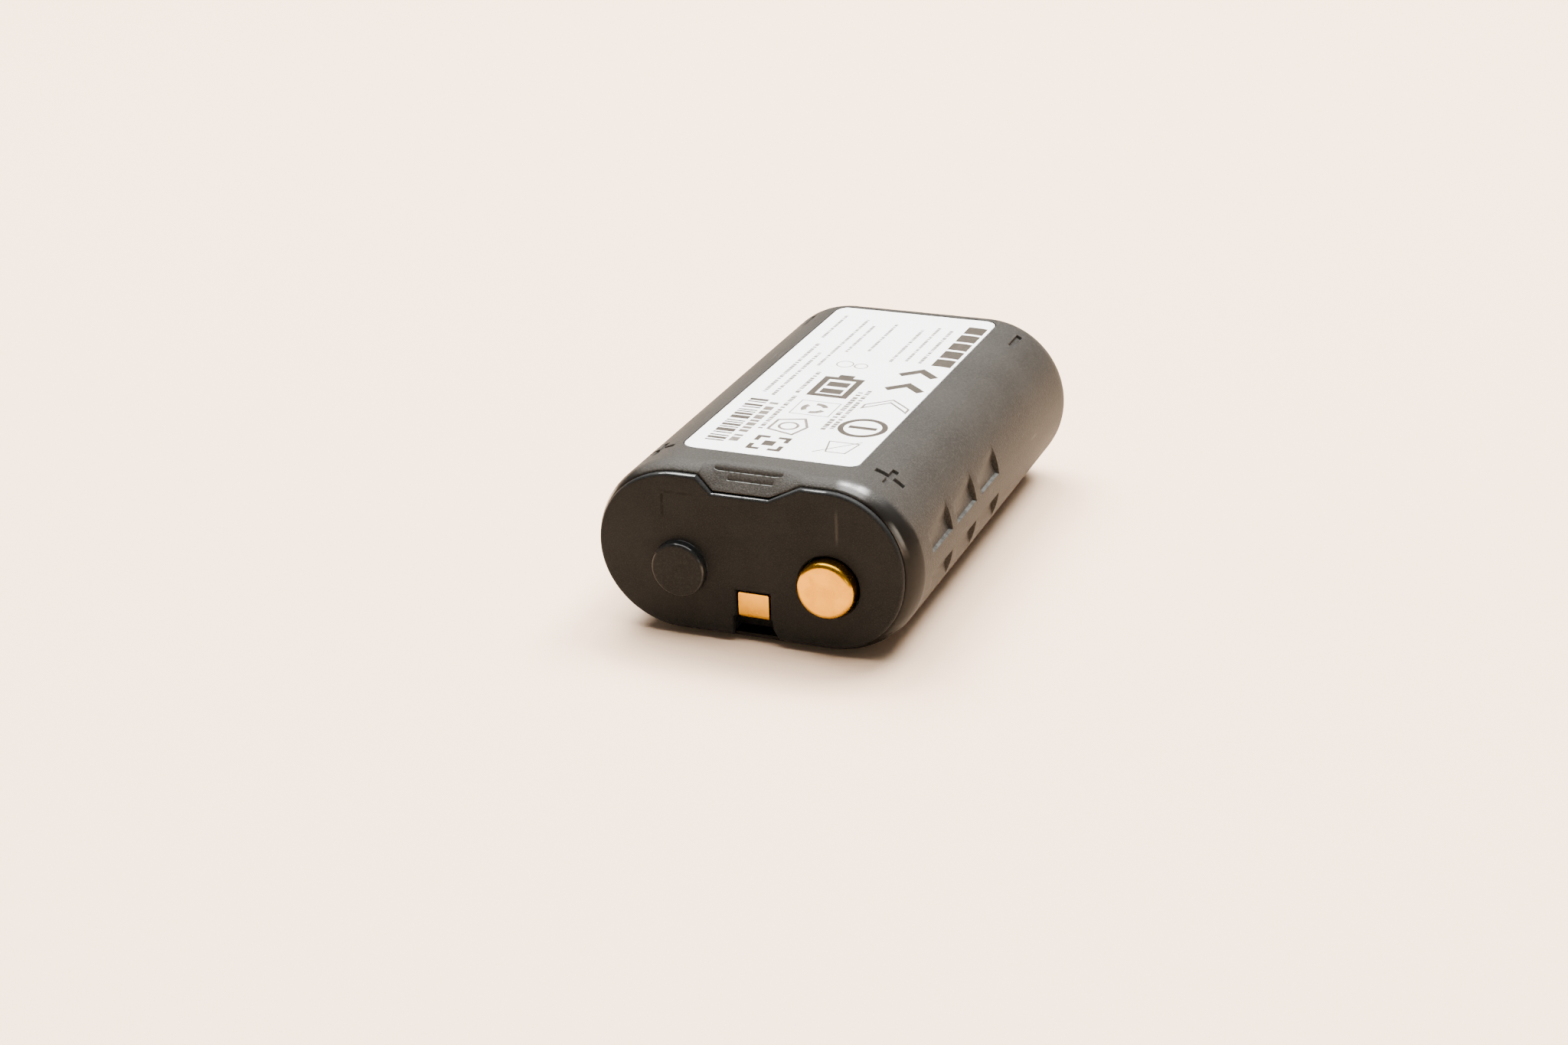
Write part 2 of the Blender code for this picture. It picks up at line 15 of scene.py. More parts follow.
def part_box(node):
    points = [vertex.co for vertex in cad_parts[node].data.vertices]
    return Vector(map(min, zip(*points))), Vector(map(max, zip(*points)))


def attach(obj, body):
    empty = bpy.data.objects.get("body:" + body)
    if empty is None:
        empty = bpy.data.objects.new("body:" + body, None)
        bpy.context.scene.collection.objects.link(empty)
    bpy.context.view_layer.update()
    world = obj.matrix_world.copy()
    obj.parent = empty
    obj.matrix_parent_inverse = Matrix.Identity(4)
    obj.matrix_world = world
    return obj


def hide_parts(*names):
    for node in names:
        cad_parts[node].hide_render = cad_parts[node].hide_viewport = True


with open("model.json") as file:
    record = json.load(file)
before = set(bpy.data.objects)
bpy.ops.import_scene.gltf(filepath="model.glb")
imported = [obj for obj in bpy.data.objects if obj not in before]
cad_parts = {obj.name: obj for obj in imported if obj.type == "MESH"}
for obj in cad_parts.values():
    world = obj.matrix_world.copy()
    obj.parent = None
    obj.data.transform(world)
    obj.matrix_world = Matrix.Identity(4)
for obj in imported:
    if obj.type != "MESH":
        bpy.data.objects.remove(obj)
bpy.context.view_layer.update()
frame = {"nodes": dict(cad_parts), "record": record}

MM = 0.001
case_low, case_high = (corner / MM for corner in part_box("case_shell"))
stud_low, stud_high = (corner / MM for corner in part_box("positive_stud"))
leaf_low, leaf_high = (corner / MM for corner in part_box("data_contact"))
label_low, label_high = (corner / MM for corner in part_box("label"))
rear_low, rear_high = (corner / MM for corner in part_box("negative_contact_right"))

# The can: two half circles joined by straight runs, rolled in at the front and rounded at the rear.
# LIP_LEAN is how far the lip stands towards -X, at the left end and at the right end.
FRONT = case_low.y
LENGTH = case_high.y - case_low.y
CASE_R = (case_high.z - case_low.z) / 2
MID_Z = (case_high.z + case_low.z) / 2
ARC_X = case_high.x - CASE_R
WALL = 0.8
END_WALL = 0.9
REAR_ROUND = 3.5
CAVITY_ROUND = 2.0
LIP_DEPTH = 0.65
LIP_START = 2.4
LIP_INSET = 0.55
LIP_ROLL = 0.9
LIP_LEAN = (0.25, 0.5)

# The tongue at the can's upper front edge: X where it starts and where it is full, at the left and the right,
# the depth and height of its tip, and its two grooves, each with a depth, a left end and a right end
TONGUE_X = (-5.0, -3.6, 1.6, 4.4)
TONGUE_LOW = 14.05
TONGUE_TIP = (0.38, 14.16)
RAMP_DEPTH = 2.3
RAMP_SOFT = 0.4
LIP_MEETS_RAMP = 0.8
RAMP_GROOVES = ((1.84, -3.95, 2.4), (1.25, -2.55, 1.7))
GROOVE_WIDTH = 0.30
GROOVE_CUT = 0.15

# Grip pockets, scooped deepest at SCOOP_RISE above and below the middle of the land between them, and the
# engraved marks, with EDGE the width of every cut's sloping edge
POCKET_REARS = (10.05, 16.8, 23.55)
POCKET_LENGTH = 5.3
LEDGE_CUT = 0.36
SCOOP_CUT = 0.46
SCOOP_RISE = 2.4
SCOOP_HALF = 1.4
LAND_Z = 7.9
LAND_HALF = 1.0
POCKET_SOFT = 0.08
MARK_ANGLE = radians(61.5)
MARK_HALF = (1.45, 0.275)
MARK_CUT = 0.26
PLUS_DEPTH = 5.65
MINUS_DEPTH = 42.1
EDGE = 0.12

# Where the can is glossy, and where pale painted highlights go on its lip's edge and on each pocket's ledge
SHOULDER_X = (7.9, 10.0)
SHOULDER_Z = (13.4, 14.2)
INNER_EDGE_Z = (10.4, 12.8)
LIP_GLINT_DEPTH = (0.74, 0.98)
LIP_GLINT_Z = (10.9, 12.7)
LEDGE_Z = (8.85, 8.97)

# The cap. Its notch is a line of (x, z) points from the foot's left to its right, and each stretch of its rim
# that shines has a left end, a right end, a softness and a strength.
CAP_R = 7.35
CAP_RIM = 0.5
CAP_PLATE = 1.1
CAP_EDGE = 0.3
CAP_STEP = 0.38
TONGUE_GAP = 0.13
NOTCH_UP = ((-2.0, 2.45), (-1.66, 2.65), (-1.66, 4.97))
NOTCH_DOWN = ((1.50, 4.97), (1.50, 2.65), (1.65, 2.45), (1.65, 1.75), (2.3, MID_Z - CAP_R))
RIM_SHINE = ((-8.5, -5.1, 0.15, 1.0), (-3.7, 1.6, 0.1, 1.0), (4.9, 6.9, 0.2, 0.6))
RIM_SHINE_Z = (12.9, 13.6)
NUB_PROUD = 0.9
NUB_X = -6.78
NUB_ROUND = 0.34
NUB_FOOT = 0.12
BORE_GAP = 0.16
BORE_LEAD_IN = 0.12

# Contacts. The leaf is LEAF_X off the middle and LEAF_TRIM narrower on each side than its solid, and its top
# and its fold are LEAF_DROP lower.
LEAF_THICK = 0.3
LEAF_X = -0.07
LEAF_TRIM = 0.07
LEAF_DROP = (0.17, 0.40)
STUD_ROUND = 0.5
CONTACT_X = (stud_low.x + stud_high.x) / 2
CONTACT_Z = (stud_low.z + stud_high.z) / 2
CONTACT_R = (stud_high.x - stud_low.x) / 2
STUD_PROUD = FRONT - stud_low.y
WINDOW_R = 3.15

# The label: the radius of each corner from the front right one round, and where its film bends over the can
LABEL_HALF = ((label_high.x - label_low.x) / 2, (label_high.y - label_low.y) / 2)
LABEL_X = (label_low.x + label_high.x) / 2
LABEL_DEPTH = (label_low.y + label_high.y) / 2 - FRONT
LABEL_TURN = radians(-0.4)
LABEL_CORNERS = (1.0, 1.0, 1.0, 1.7)
LABEL_SUNK = 0.03
LABEL_GAP = 0.14
RECESS_CUT = 0.16
INK_IN = 0.02
INK_PROUD = 0.008
CURVE_CUTS = (-8.4, -8.1, -7.8, -7.5, -7.2, -6.9, 6.9, 7.2, 7.5, 7.8, 8.1)


# ------------------------------------------------------------------ shader graphs


class Value:
    """A shader socket that arithmetic adds Math nodes to."""

    def __init__(self, finish, socket):
        self.finish = finish
        self.socket = socket

    def math(self, operation, *others):
        sockets = dict(enumerate((self, *others)))
        return self.finish.node("ShaderNodeMath", {"operation": operation}, sockets)

    def __add__(self, other):
        return self.math("ADD", other)

    def __sub__(self, other):
        return self.math("SUBTRACT", other)

    def __rsub__(self, other):
        return self.finish.node("ShaderNodeMath", {"operation": "SUBTRACT"}, {0: other, 1: self})

    def __mul__(self, other):
        return self.math("MULTIPLY", other)

    def __abs__(self):
        return self.math("ABSOLUTE")

    __radd__ = __add__
    __rmul__ = __mul__

    def over(self, low, high):
        """0 at low, 1 at high, and smooth between them; low may be the larger."""
        limits = {0: self, 1: low, 2: high, 3: 0.0, 4: 1.0}
        return self.finish.node("ShaderNodeMapRange", {"interpolation_type": "SMOOTHSTEP"}, limits)

    def within(self, low, high, soft):
        """1 between two limits and 0 outside them, with soft edges."""
        return self.over(low - soft, low + soft) * self.over(high + soft, high - soft)

    def either(self, other):
        """The larger of two values."""
        return self.math("MAXIMUM", other)


class Finish:
    """A procedural material round one Principled shader. It measures places in millimetres."""

    def __init__(self, name, **fixed):
        """What fixed gives is the same all over the surface."""
        self.material = bpy.data.materials.new(name)
        self.material.use_nodes = True
        self.tree = self.material.node_tree
        self.shader = self.tree.nodes["Principled BSDF"]
        for key, value in fixed.items():
            self.shader.inputs[key.replace("_", " ")].default_value = value
        self.place = self.node("ShaderNodeTexCoord", {}, {}, "Object")
        self.x, self.y, self.z = (
            self.node("ShaderNodeSeparateXYZ", {}, {0: self.place}, axis) * (1 / MM) for axis in "XYZ"
        )
        self.depth = self.y - FRONT

    def node(self, kind, settings, sockets, output=0):
        """One node: its settings first, and then its sockets, as values or links, by place or name."""
        made = self.tree.nodes.new(kind)
        for key, value in settings.items():
            setattr(made, key, value)
        for key, value in sockets.items():
            if isinstance(value, Value):
                self.tree.links.new(value.socket, made.inputs[key])
            else:
                made.inputs[key].default_value = value
        return Value(self, made.outputs[output])

    def noise(self, size, detail=2.0, stretch=(1, 1, 1)):
        """Noise whose lumps are about this many millimetres across."""
        place = self.node("ShaderNodeMapping", {}, {"Vector": self.place, "Scale": stretch})
        sockets = {"Vector": place, "Scale": 1 / (size * MM), "Detail": detail}
        return self.node("ShaderNodeTexNoise", {}, sockets)

    def cells(self, size, feature="F1"):
        """Distances in a pattern of cells about this many millimetres across."""
        sockets = {"Vector": self.place, "Scale": 1 / (size * MM)}
        return self.node("ShaderNodeTexVoronoi", {"feature": feature}, sockets)

    def blend(self, factor, one, other):
        """A colour between two colours."""
        one, other = (c if isinstance(c, Value) else (*c, 1.0) for c in (one, other))
        return self.node("ShaderNodeMix", {"data_type": "RGBA"}, {0: factor, 6: one, 7: other}, 2)

    def drive(self, **values):
        """Links what changes over the surface to the shader."""
        for key, value in values.items():
            self.tree.links.new(value.socket, self.shader.inputs[key.replace("_", " ")])

    def bump(self, height, relief):
        """Relief whose full height is this many millimetres."""
        self.drive(Normal=self.node("ShaderNodeBump", {}, {"Distance": relief * MM, "Height": height}))


def case_finish():
    """Dark warm grey plastic with a fine spark-eroded grain.

    Its rolled lip is smoother, and glossy on its right shoulder and its inner edge. The lip's colour is
    painted
    darker: painted shade that stands for the dark reflection of the glossy lip. Pale painted highlights lie
    on the ledge of each pocket, on the near walls of the tongue's grooves and along a stretch of the lip's
    edge.
    """
    made = Finish("case_plastic", Specular_IOR_Level=0.10, Coat_Roughness=0.24)
    beside = 1.0 - made.x.within(TONGUE_X[0], TONGUE_X[3], 0.5) * made.z.over(13.0, 14.0)
    low = made.z.over(13.0, 11.0) * 0.5
    front = (made.depth - low).over(LIP_START + 0.1, LIP_START - 0.6) * beside
    # the lip: smoother and less grained, and its colour painted darker, painted shade for the dark reflection
    # of the glossy lip
    lip = front * made.z.over(15.2, 14.2)
    shoulder = front * made.x.within(*SHOULDER_X, 0.6) * made.z.over(*SHOULDER_Z)
    inner_edge = made.depth.over(LIP_DEPTH + 0.5, LIP_DEPTH + 0.3) * made.z.within(*INNER_EDGE_Z, 0.7)
    gloss = shoulder.either(inner_edge)
    pocket_wall = case_high.x - LEDGE_CUT - SCOOP_CUT
    # painted highlight: a pale strip painted along each pocket's ledge, where light catches it
    ledge_glint = abs(made.x).over(pocket_wall - 0.03, pocket_wall + 0.17) * made.z.within(*LEDGE_Z, 0.02)
    inside = 0.0
    for rear in POCKET_REARS:
        inside = made.depth.within(rear - POCKET_LENGTH + 0.1, rear - 0.1, 0.1) + inside
    painted_glints = ledge_glint * inside * (made.noise(0.8).over(0.35, 0.60) * 0.30 + 0.08)
    # painted highlight: a pale streak painted along the lip's inner edge, where it catches light
    lip_edge_glint = made.depth.within(*LIP_GLINT_DEPTH, 0.08) * made.z.within(*LIP_GLINT_Z, 0.5)
    painted_glints = painted_glints.either(lip_edge_glint * 0.6)
    for middle, left, right in RAMP_GROOVES:
        # painted highlight: the near wall of each groove is painted pale, where light catches it
        groove_wall_glint = made.depth.within(middle - 0.14, middle - 0.02, 0.03) * made.x.within(left, right, 0.1)
        painted_glints = painted_glints.either(groove_wall_glint * made.z.over(12.5, 13.0) * made.noise(0.4).over(0.34, 0.50))
    grain = made.noise(0.17, 3.0)
    pits = made.cells(0.14)
    cloud = made.noise(6.0, 3.0)
    scuffs = made.noise(0.5, 4.0, (1, 0.12, 1)).over(0.62, 0.74)
    colour = made.blend(cloud.over(0.35, 0.65), (0.0208, 0.0187, 0.0158), (0.0260, 0.0235, 0.0201))
    speckled = made.blend(grain.over(0.42, 0.68) * 0.6, colour, (0.046, 0.042, 0.036))
    # painted shade: the lip's colour is made darker
    shaded = made.blend(lip, speckled, (0.0070, 0.0064, 0.0054))
    # the pale painted highlights laid over the colour
    base = made.blend(painted_glints * 0.9, shaded, (0.150, 0.155, 0.145))
    matt = 0.48 + grain * 0.12 + cloud * 0.06 - scuffs * 0.10
    roughness = matt * (1.0 - lip) + lip * (0.34 + cloud * 0.10)
    made.drive(Base_Color=base, Roughness=roughness, Coat_Weight=gloss)
    made.bump((grain + pits * 0.7) * (1.0 - lip * 0.9), 0.024)
    return made.material


def cap_finish():
    """Near-black satin plastic with faint moulding lines, glossy on its upper rim and the nub's side."""
    made = Finish("cap_plastic", Specular_IOR_Level=0.08, Coat_Roughness=0.09)
    edge = made.depth.within(0.05 - NUB_PROUD, -0.05, 0.03) * 0.6
    rim = made.depth.over(0.03, 0.09) * made.z.over(*RIM_SHINE_Z)
    for left, right, soft, strength in RIM_SHINE:
        edge = edge.either(rim * made.x.within(left, right, soft) * strength)
    grain = made.noise(0.12, 3.0)
    cloud = made.noise(4.0, 3.0)
    flaw = made.noise(0.6, 2.0)
    dark_line = made.x.within(-8.42, -8.18, 0.10) * made.z.within(11.3, 13.7, 0.3)
    cross_line = made.z.within(13.5, 13.7, 0.10) * made.x.within(-8.6, -5.4, 0.2)
    streak = made.x.within(7.8, 8.0, 0.13) * made.z.within(10.9, 13.6, 0.6)
    lines = dark_line.either(cross_line * 0.6) * flaw.over(0.3, 0.6)
    colour = made.blend(cloud.over(0.35, 0.65), (0.0060, 0.0066, 0.0068), (0.0086, 0.0092, 0.0094))
    colour = made.blend(grain.over(0.45, 0.70) * 0.6, colour, (0.0175, 0.0178, 0.0170))
    colour = made.blend(lines, colour, (0.0015, 0.0013, 0.0010))
    base = made.blend(streak * 0.5, colour, (0.05, 0.046, 0.040))
    made.drive(Base_Color=base, Roughness=0.44 + grain * 0.10 + cloud * 0.06 - streak * 0.12)
    made.drive(Coat_Weight=edge * flaw.over(0.30, 0.46))
    made.bump(grain * (1.0 - edge * 0.8) - lines * 0.6, 0.014)
    return made.material


def gold_finish():
    """Polished gold plating with handling marks."""
    made = Finish("gold_plate", Metallic=1.0)
    smear = made.noise(1.1, 4.0)
    lines = made.noise(0.08, 2.0, (1, 1, 0.06))
    dots = made.cells(0.55).over(0.16, 0.05) * made.noise(1.6, 1.0).over(0.52, 0.62)
    colour = made.blend(smear.over(0.35, 0.70), (0.58, 0.29, 0.004), (0.50, 0.235, 0.003))
    base = made.blend(dots * 0.4, colour, (0.50, 0.17, 0.006))
    made.drive(Base_Color=base, Roughness=0.15 + smear * 0.16 + lines * 0.05 + dots * 0.12)
    made.bump(lines * 0.5 + smear, 0.002)
    return made.material


def film_finish():
    """The label's white satin film, with a soiled edge."""
    made = Finish("label_film")
    tooth = made.noise(0.12, 3.0)
    wave = made.noise(3.5, 2.0)
    across = abs(made.x - LABEL_X) - LABEL_HALF[0]
    along = abs(made.depth - LABEL_DEPTH) - LABEL_HALF[1]
    edge = across.either(along).over(-0.35, 0.0)
    dirt = edge * made.noise(0.7, 4.0).over(0.52, 0.70)
    colour = made.blend(wave.over(0.3, 0.7), (0.93, 0.93, 0.92), (0.96, 0.96, 0.955))
    base = made.blend(dirt * 0.7, colour, (0.42, 0.37, 0.31))
    made.drive(Base_Color=base, Roughness=0.36 + tooth * 0.12 + dirt * 0.2)
    made.bump(tooth * 0.4 + wave, 0.006)
    return made.material


def ink_finish(name, dark, light):
    """Thermal print: solid, but thin in places."""
    made = Finish(name, Specular_IOR_Level=0.15)
    thin = made.noise(0.22, 4.0)
    patch = made.noise(2.5, 2.0)
    share = thin.over(0.45, 0.75) * 0.6 + patch * 0.2
    made.drive(Base_Color=made.blend(share, dark, light), Roughness=0.40 + thin * 0.2)
    made.bump(thin, 0.003)
    return made.material


def metal_finish(name, one, other, roughness):
    """Drawn and plated steel."""
    made = Finish(name, Metallic=1.0)
    drawn_lines = made.noise(0.10, 3.0, (1, 0.04, 1))
    cloud = made.noise(3.0, 3.0)
    base = made.blend(cloud.over(0.3, 0.7), one, other)
    made.drive(Base_Color=base, Roughness=roughness + drawn_lines * 0.14 + cloud * 0.05)
    made.bump(drawn_lines, 0.002)
    return made.material


def plain_finish(name, one, other, roughness, size, relief, stretch=(1, 1, 1)):
    """A finish with grain of one size over soft clouding."""
    made = Finish(name)
    grain = made.noise(size, 3.0, stretch)
    cloud = made.noise(size * 14)
    base = made.blend(grain.over(0.35, 0.70) * 0.6 + cloud * 0.4, one, other)
    made.drive(Base_Color=base, Roughness=roughness + grain * 0.12)
    made.bump(grain, relief)
    return made.material


def board_finish():
    """Green solder resist over woven glass, with tracks under it."""
    made = Finish("board_laminate")
    weave = (made.x * 14.0).math("SINE") * (made.z * 14.0).math("SINE") * 0.5 + 0.5
    tracks = made.cells(1.4, "DISTANCE_TO_EDGE").over(0.10, 0.06)
    resist = made.blend(weave * 0.5, (0.012, 0.105, 0.040), (0.018, 0.135, 0.055))
    base = made.blend(tracks * 0.6, resist, (0.035, 0.20, 0.08))
    made.drive(Base_Color=base, Roughness=0.28 + weave * 0.08)
    made.bump(tracks * 0.7 + weave * 0.3, 0.02)
    return made.material


FINISHES = {
    "case_plastic": case_finish(),
    "cap_plastic": cap_finish(),
    "gold_plate": gold_finish(),
    "label_film": film_finish(),
    "bold_ink": ink_finish("bold_ink", (0.030, 0.023, 0.016), (0.070, 0.055, 0.040)),
    "fine_ink": ink_finish("fine_ink", (0.085, 0.070, 0.055), (0.26, 0.23, 0.20)),
    "nickel": metal_finish("nickel", (0.60, 0.57, 0.52), (0.68, 0.66, 0.62), 0.26),
    "can_steel": metal_finish("can_steel", (0.50, 0.50, 0.49), (0.60, 0.60, 0.59), 0.20),
    "sleeve_film": plain_finish("sleeve_film", (0.010, 0.075, 0.24), (0.016, 0.10, 0.30), 0.22, 0.4, 0.01),
    "board_laminate": board_finish(),
    "chip_resin": plain_finish("chip_resin", (0.014, 0.014, 0.015), (0.03, 0.03, 0.032), 0.42, 0.05, 0.008),
    "ceramic": plain_finish("ceramic", (0.34, 0.24, 0.15), (0.42, 0.32, 0.21), 0.38, 0.06, 0.005),
    "fish_paper": plain_finish(
        "fish_paper", (0.42, 0.36, 0.22), (0.52, 0.46, 0.31), 0.70, 0.2, 0.02, (1, 1, 0.3)
    ),
    "foil_roll": plain_finish("foil_roll", (0.035, 0.035, 0.038), (0.09, 0.09, 0.095), 0.45, 0.15, 0.02),
    "seal_nylon": plain_finish("seal_nylon", (0.62, 0.61, 0.56), (0.70, 0.69, 0.65), 0.40, 0.3, 0.01),
}


# ------------------------------------------------------------------ mesh tools


def at(x, depth, z):
    """The point, in metres, that millimetres and a depth give."""
    return Vector((x, FRONT + depth, z)) * MM


def mix(one, other, share):
    return one + (other - one) * share


def smooth_step(value, edge, width=EDGE):
    share = min(max((value - edge) / width + 0.5, 0.0), 1.0)
    return share * share * (3 - 2 * share)


def softer_min(one, other, soft):
    """The smaller of two numbers, rounded off where they cross."""
    near = max(soft - abs(one - other), 0.0) / soft
    return min(one, other) - near * near * soft / 4


def spread(low, high, spacing, edges=(), width=EDGE):
    """Places between two limits, evenly spread and gathered round the given edges."""
    gathered = [edge + width * share for edge in edges for share in (-0.5, -0.25, 0.0, 0.25, 0.5)]
    count = ceil((high - low) / spacing)
    even = [mix(low, high, i / count) for i in range(count + 1)]
    kept = [p for p in even if all(abs(p - q) > width * 0.3 for q in gathered)]
    return sorted(kept + [p for p in gathered if low <= p <= high])


def shown(name, mesh, finish, node, sharp=40, body="root"):
    """A finished piece: its normals out, shaded smooth up to an angle, standing for a CAD node."""
    bmesh.ops.remove_doubles(mesh, verts=mesh.verts, dist=0.002 * MM)
    bmesh.ops.recalc_face_normals(mesh, faces=mesh.faces)
    data = bpy.data.meshes.new(name)
    mesh.to_mesh(data)
    mesh.free()
    piece = bpy.data.objects.new(name, data)
    bpy.context.scene.collection.objects.link(piece)
    shade(piece, finish, sharp)
    if node:
        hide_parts(node)
    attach(piece, body)
    return piece


def shade(piece, finish, sharp):
    piece.data.shade_smooth()
    piece.data.set_sharp_from_angle(angle=radians(sharp))
    piece.data.materials.clear()
    piece.data.materials.append(FINISHES[finish])


def carved(piece, finish, sharp, *cuts):
    """Cuts closed meshes out of a piece, or adds them to it, and keeps the result as its mesh."""
    helpers = []
    for operation, mesh in cuts:
        bmesh.ops.recalc_face_normals(mesh, faces=mesh.faces)
        data = bpy.data.meshes.new("cutter")
        mesh.to_mesh(data)
        mesh.free()
        helper = bpy.data.objects.new("cutter", data)
        bpy.context.scene.collection.objects.link(helper)
        step = piece.modifiers.new("carve", "BOOLEAN")
        step.operation = operation
        step.object = helper
        helpers.append(helper)
    bpy.context.view_layer.update()
    seen = piece.evaluated_get(bpy.context.evaluated_depsgraph_get())
    result = bpy.data.meshes.new_from_object(seen)
    piece.modifiers.clear()
    old = piece.data
    piece.data = result
    result.name = piece.name
    bpy.data.meshes.remove(old)
    for helper in helpers:
        bpy.data.objects.remove(helper, do_unlink=True)
    shade(piece, finish, sharp)
    return piece


def extruded_loop(points, stations, place):
    """A closed loop of edges drawn through the stations; place gives each point's spot at a station."""
    mesh = bmesh.new()
    number = mesh.verts.layers.int.new("line")
    loop = []
    for i, point in enumerate(points):
        vert = mesh.verts.new(place(point, stations[0]))
        vert[number] = i
        loop.append(vert)
    edges = [mesh.edges.new(pair) for pair in zip(loop, loop[1:] + loop[:1])]
    first = edges
    for station in stations[1:]:
        made = bmesh.ops.extrude_edge_only(mesh, edges=edges)["geom"]
        fresh = {item for item in made if isinstance(item, bmesh.types.BMVert)}
        edges = [e for e in made if isinstance(e, bmesh.types.BMEdge) and set(e.verts) <= fresh]
        for vert in fresh:
            vert.co = place(points[vert[number]], station)
    for rim in (first, edges):
        bmesh.ops.edgeloop_fill(mesh, edges=rim)
    return mesh


def turned(x, z, profile, steps=96):
    """A closed solid turned about an axis along Y, from (radius, depth) points that start and end on it."""
    mesh = bmesh.new()
    verts = [mesh.verts.new(at(x + radius, depth, z)) for radius, depth in profile]
    edges = [mesh.edges.new(pair) for pair in zip(verts, verts[1:])]
    bmesh.ops.spin(
        mesh,
        geom=verts + edges,
        cent=at(x, 0, z),
        axis=(0, 1, 0),
        angle=2 * pi,
        steps=steps,
        use_merge=True,
    )
    bmesh.ops.remove_doubles(mesh, verts=mesh.verts, dist=0.001 * MM)
    bmesh.ops.recalc_face_normals(mesh, faces=mesh.faces)
    return mesh


def quarter(steps):
    """Even turns from 0 to a right angle."""
    return [pi / 2 * i / steps for i in range(steps + 1)]


def rounded(corner_radius, corner_depth, radius):
    """A quarter round of a turned profile, from its flat end to its side."""
    return [
        (corner_radius - radius * (1 - sin(a)), corner_depth + radius * (1 - cos(a))) for a in quarter(9)
    ]


def drawn(outline, front, rear):
    """An (x, z) outline drawn from one depth to another."""
    mesh = bmesh.new()
    face = mesh.faces.new([mesh.verts.new(at(x, front, z)) for x, z in outline])
    made = bmesh.ops.extrude_face_region(mesh, geom=[face])["geom"]
    verts = [item for item in made if isinstance(item, bmesh.types.BMVert)]
    bmesh.ops.translate(mesh, vec=(0, (rear - front) * MM, 0), verts=verts)
    bmesh.ops.recalc_face_normals(mesh, faces=mesh.faces)
    return mesh


def arc(cx, cz, radius, start, end, steps):
    """Points along an arc, its angles in degrees."""
    turn = [radians(mix(start, end, i / steps)) for i in range(steps + 1)]
    return [(cx + radius * cos(a), cz + radius * sin(a)) for a in turn]


# ------------------------------------------------------------------ the can


def tongue_share(line):
    """1 where an outline's line runs down the tongue, 0 on the lip, and between them on its sides."""
    x, angle = line
    if abs(angle - pi / 2) > 0.001:
        return 0.0
    start, full, fall, end = TONGUE_X
    return min(max(min((x - start) / (full - start), (end - x) / (end - fall)), 0.0), 1.0)


def case_lines():
    """The can's outline as (centre x, angle of the outward direction), all the way round."""
    land = [asin((LAND_Z + side * LAND_HALF - MID_Z) / CASE_R) for side in (-1, 1)]
    marks = [MARK_ANGLE + side * half / CASE_R for side in (-1, 1) for half in MARK_HALF]
    angles = spread(-pi / 2, pi / 2, radians(3.6), land + marks, EDGE / CASE_R)
    ends = [x for _, left, right in RAMP_GROOVES for x in (left, right)]
    flat = spread(-ARC_X, ARC_X, 0.5, [*TONGUE_X, *ends])[1:-1]
    right = [(ARC_X, a) for a in angles]
    top = [(x, pi / 2) for x in reversed(flat)]
    left = [(-ARC_X, pi - a) for a in reversed(angles)]
    bottom = [(x, -pi / 2) for x in spread(-ARC_X, ARC_X, 1.0)[1:-1]]
    return right + top + left + bottom


def lip_radius(depth):
    """The can's radius along its rolled lip, a stretch of a long ellipse."""
    steep = sin(acos(1 - LIP_INSET / LIP_ROLL))
    reach = max(LIP_START - depth, 0.0) / (LIP_START - LIP_DEPTH) * steep
    return CASE_R - LIP_ROLL * (1 - sqrt(1 - reach * reach))


def ramp_radius(depth):
    """How far the tongue's sloping face is above the middle."""
    start, tip_z = TONGUE_TIP
    share = (depth - start) / (RAMP_DEPTH - start)
    return softer_min(CASE_R, mix(tip_z - MID_Z, CASE_R, share), RAMP_SOFT)


